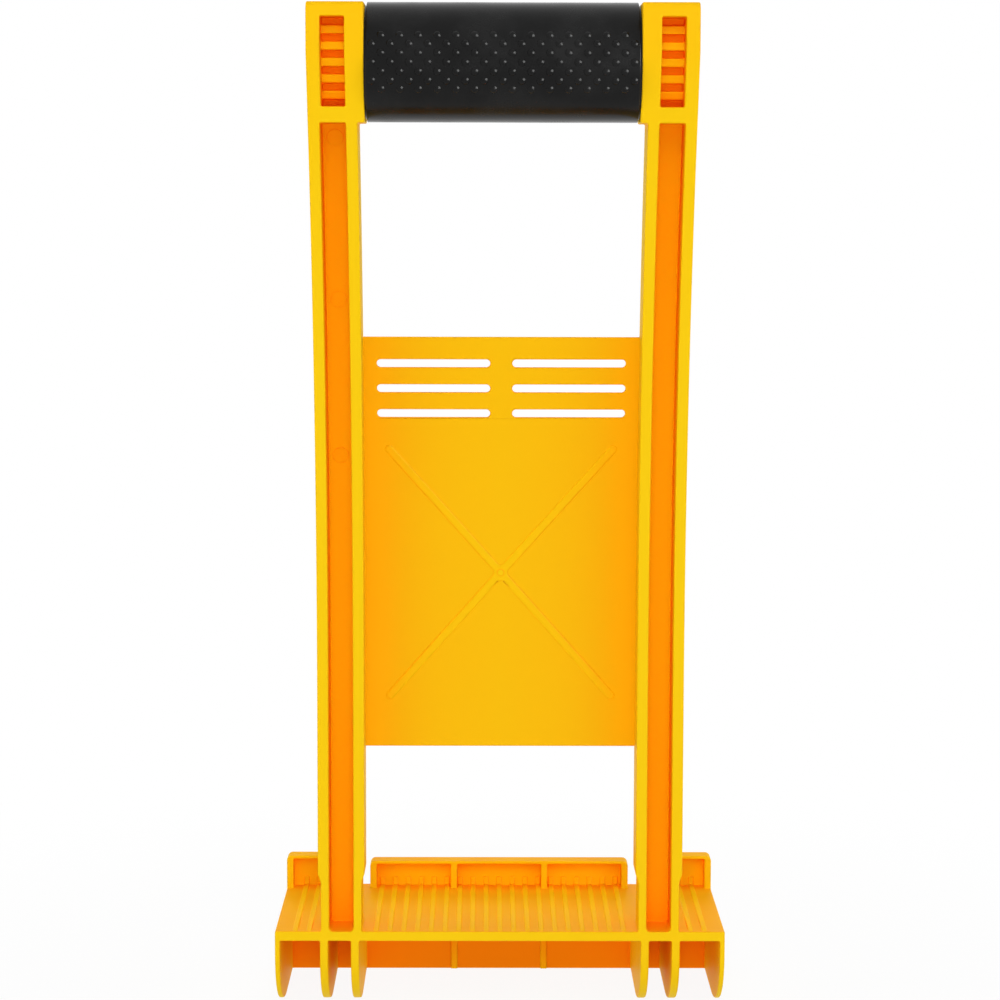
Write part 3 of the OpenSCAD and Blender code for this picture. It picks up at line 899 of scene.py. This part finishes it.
class CARRIER_OT_marks(bpy.types.Operator):
    """Builds the mould's marks: ejector pins on the left web, and the gate in the middle of the cross"""

    bl_idname = "carrier.marks"
    bl_label = "Mould marks"

    def execute(self, context):
        at = Places(context.scene)
        sizes = at.sizes
        x = -(at.channel[0] + at.channel[1]) / 2
        discs = [self.disc(at, x, sizes.pin_top - i * sizes.pin_pitch, sizes.pin_diameter,
                           at.depth - sizes.web, sizes.pin_height) for i in range(sizes.pin_count)]
        low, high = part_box("cross_ribs")
        discs.append(self.disc(at, 0, (low.z + high.z) / 2, sizes.gate_diameter,
                               at.depth - sizes.plate - sizes.cross_height, sizes.gate_height))
        marks = rounded(cleaned(combined("UNION", *discs)), sizes.pin_height * MARK_ROUND)
        finished(marks, "mould_marks", "moulded_mark", PLASTIC_SLOT)
        return {"FINISHED"}

    def disc(self, at, x, z, width, depth, height):
        """A disc that stands out of the face at that depth, by that height."""
        outline = arc((x, z), width / 2, 0, 360 - 360 / MARK_SIDES, MARK_SIDES - 1)
        made = prism("Y", outline, at.head_front, at.far)
        skin = at.sheet(depth - height, height + SINK / 2, z - width, z + width)
        return combined("INTERSECT", made, prism("X", skin, x - width, x + width))


def dome(form, foot, up, radius, height):
    """Adds a round cap to a bmesh, standing on foot in the direction up, with its rim sunk a little."""
    ball = (radius * radius + height * height) / (2 * height)
    side = up.orthogonal().normalized()
    other = up.cross(side)
    rim = math.acos((ball - height - STUD_SINK) / ball)
    middle = foot + up * (height - ball)
    around = [math.tau * k / STUD_SIDES for k in range(STUD_SIDES)]
    rings = []
    for i in range(1, STUD_RINGS + 1):
        a = rim * i / STUD_RINGS
        rings.append([form.verts.new(middle + ball * (up * math.cos(a) + math.sin(a) * (
            side * math.cos(t) + other * math.sin(t)))) for t in around])
    tip = form.verts.new(middle + up * ball)
    for k in range(STUD_SIDES):
        form.faces.new((tip, rings[0][k], rings[0][k - 1]))
        for inner, outer in zip(rings, rings[1:]):
            form.faces.new((inner[k], outer[k], outer[k - 1], inner[k - 1]))
    form.faces.new(rings[-1])


class CARRIER_OT_grip(bpy.types.Operator):
    """Builds the rubber sleeve with its two fields of studs, on the yellow bar"""

    bl_idname = "carrier.grip"
    bl_label = "Grip"

    def execute(self, context):
        at = Places(context.scene)
        low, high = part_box("grip_sleeve")
        end, radius = high.x - at.grip.groove, (high.z - low.z) / 2
        form = bmesh.new()
        self.tube(form, at, (low.x, high.x), end, radius)
        self.studs(form, at, end, radius)
        sleeve = meshed("sleeve", form)
        sleeve.data.shade_smooth()
        sleeve.data.set_sharp_from_angle(angle=SHARP_FROM)
        finished(sleeve, "grip_sleeve_studded", "black_rubber", RUBBER_SLOT, "grip_sleeve")
        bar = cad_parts["handle_bar"]
        bar.data.materials.clear()
        bar.data.materials.append(material("moulded_yellow"))
        return {"FINISHED"}

    def tube(self, form, at, tips, end, radius):
        """Adds the sleeve to a bmesh: a tube between its tips, with a groove beyond each end."""
        left, right = tips
        neck, r = radius - at.grip.groove_depth, at.grip.end_round
        profile = [(left, at.core), (left, neck), (-end, neck),
                   *arc((-end + r, radius - r), r, 180, 90, RIM_STEPS),
                   *arc((end - r, radius - r), r, 90, 0, RIM_STEPS),
                   (end, neck), (right, neck), (right, at.core)]
        rings = []
        for k in range(SLEEVE_SIDES):
            a = math.tau * k / SLEEVE_SIDES
            rings.append([form.verts.new((x, at.axis[0] + d * math.cos(a), at.axis[1] + d * math.sin(a)))
                          for x, d in profile])
        for k in range(SLEEVE_SIDES):
            for i in range(len(profile)):
                form.faces.new((rings[k - 1][i - 1], rings[k - 1][i], rings[k][i], rings[k][i - 1]))

    def studs(self, form, at, end, radius):
        """Adds the rows of studs to a bmesh, on the hand side and on the finger side."""
        grip = at.grip
        half = grip.stud_rows // 2
        whole = math.floor((2 * end - grip.stud_diameter - 2 * grip.stud_margin) / grip.stud_pitch)
        for face in (-1, 1):
            for row in range(-half, half + 1):
                turn = row * grip.stud_row_angle + face * grip.stud_turn
                up = Vector((0, face * math.cos(turn), math.sin(turn)))
                gaps = whole - abs(row) % 2
                for i in range(gaps + 1):
                    x = (i - gaps / 2) * grip.stud_pitch
                    dome(form, Vector((x, *at.axis)) + up * radius, up,
                         grip.stud_diameter / 2, grip.stud_height)


class CARRIER_OT_stage(bpy.types.Operator):
    """Sets the floor, the light and the camera"""

    bl_idname = "carrier.stage"
    bl_label = "Studio"

    def execute(self, context):
        scene = context.scene
        studio = scene.carrier_studio
        scene.view_settings.view_transform = "Standard"
        scene.cycles.diffuse_bounces = 8
        mesh = bpy.data.meshes.new("floor")
        half = FLOOR_HALF
        mesh.from_pydata([(-half, -half, 0), (half, -half, 0), (half, half, 0), (-half, half, 0)],
                         [], [(0, 1, 2, 3)])
        floor = linked("floor", mesh)
        mesh.materials.append(material("pale_floor"))
        self.room(scene, studio)
        for name, place, width, setting in LAMPS:
            lamp = self.lamp(name, place, width, getattr(studio, setting))
            if setting == "card":
                lamp.visible_diffuse = False
            else:
                lamp.visible_glossy = False
        data = bpy.data.cameras.new("camera")
        data.lens, data.sensor_width, data.sensor_fit = studio.lens, SENSOR, "HORIZONTAL"
        camera = linked("camera", data)
        camera.location = studio.camera
        camera.rotation_euler = (math.pi / 2 - studio.tilt, -studio.roll, -studio.turn)
        scene.camera = camera
        return {"FINISHED"}

    def room(self, scene, studio):
        """The room's own light, with a white background behind the object."""
        paint = Paint(bpy.data.worlds.new("room"))
        dim, white = (paint.node("ShaderNodeBackground", None, {"Color": WHITE, "Strength": strength})
                      for strength in (studio.ambient, 1.0))
        shade = paint.node("ShaderNodeMixShader", None, {0: paint.backdrop(), 1: dim, 2: white})
        scene.world = paint.finish(shade, "World")

    def lamp(self, name, place, size, power):
        """A round lamp that faces the object."""
        data = bpy.data.lights.new(name, "AREA")
        data.shape, data.size, data.energy = "DISK", size, power
        lamp = linked(name, data)
        lamp.location = place
        lamp.rotation_euler = (AIM - Vector(place)).to_track_quat("-Z", "Y").to_euler()
        return lamp


class CARRIER_PT_panel(bpy.types.Panel):
    """Lists the carrier's pieces and sizes"""

    bl_idname = "CARRIER_PT_panel"
    bl_label = "Panel carrier"
    bl_space_type = "VIEW_3D"
    bl_region_type = "UI"
    bl_category = "Carrier"

    def draw(self, context):
        for step in STEPS:
            self.layout.operator(step.bl_idname)
        for name in GROUPS:
            group = getattr(context.scene, name)
            box = self.layout.box()
            for key in group.__annotations__:
                box.prop(group, key)


GROUPS = {"carrier_shelf": ShelfSizes, "carrier_frame": FrameSizes, "carrier_grip": GripSizes,
          "carrier_finish": Finish, "carrier_studio": StudioSetup}
STEPS = (CARRIER_OT_moulding, CARRIER_OT_plate, CARRIER_OT_ridges, CARRIER_OT_cross, CARRIER_OT_marks,
         CARRIER_OT_grip, CARRIER_OT_stage)
CLASSES = (*GROUPS.values(), *STEPS, CARRIER_PT_panel)


def register():
    for each in CLASSES:
        bpy.utils.register_class(each)
    for name, group in GROUPS.items():
        setattr(bpy.types.Scene, name, bpy.props.PointerProperty(type=group))


def unregister():
    for name in GROUPS:
        delattr(bpy.types.Scene, name)
    for each in reversed(CLASSES):
        bpy.utils.unregister_class(each)


def main():
    register()
    bpy.ops.carrier.moulding()
    bpy.ops.carrier.plate()
    bpy.ops.carrier.ridges()
    bpy.ops.carrier.cross()
    bpy.ops.carrier.marks()
    bpy.ops.carrier.grip()
    bpy.ops.carrier.stage()


if __name__ == "__main__":
    main()
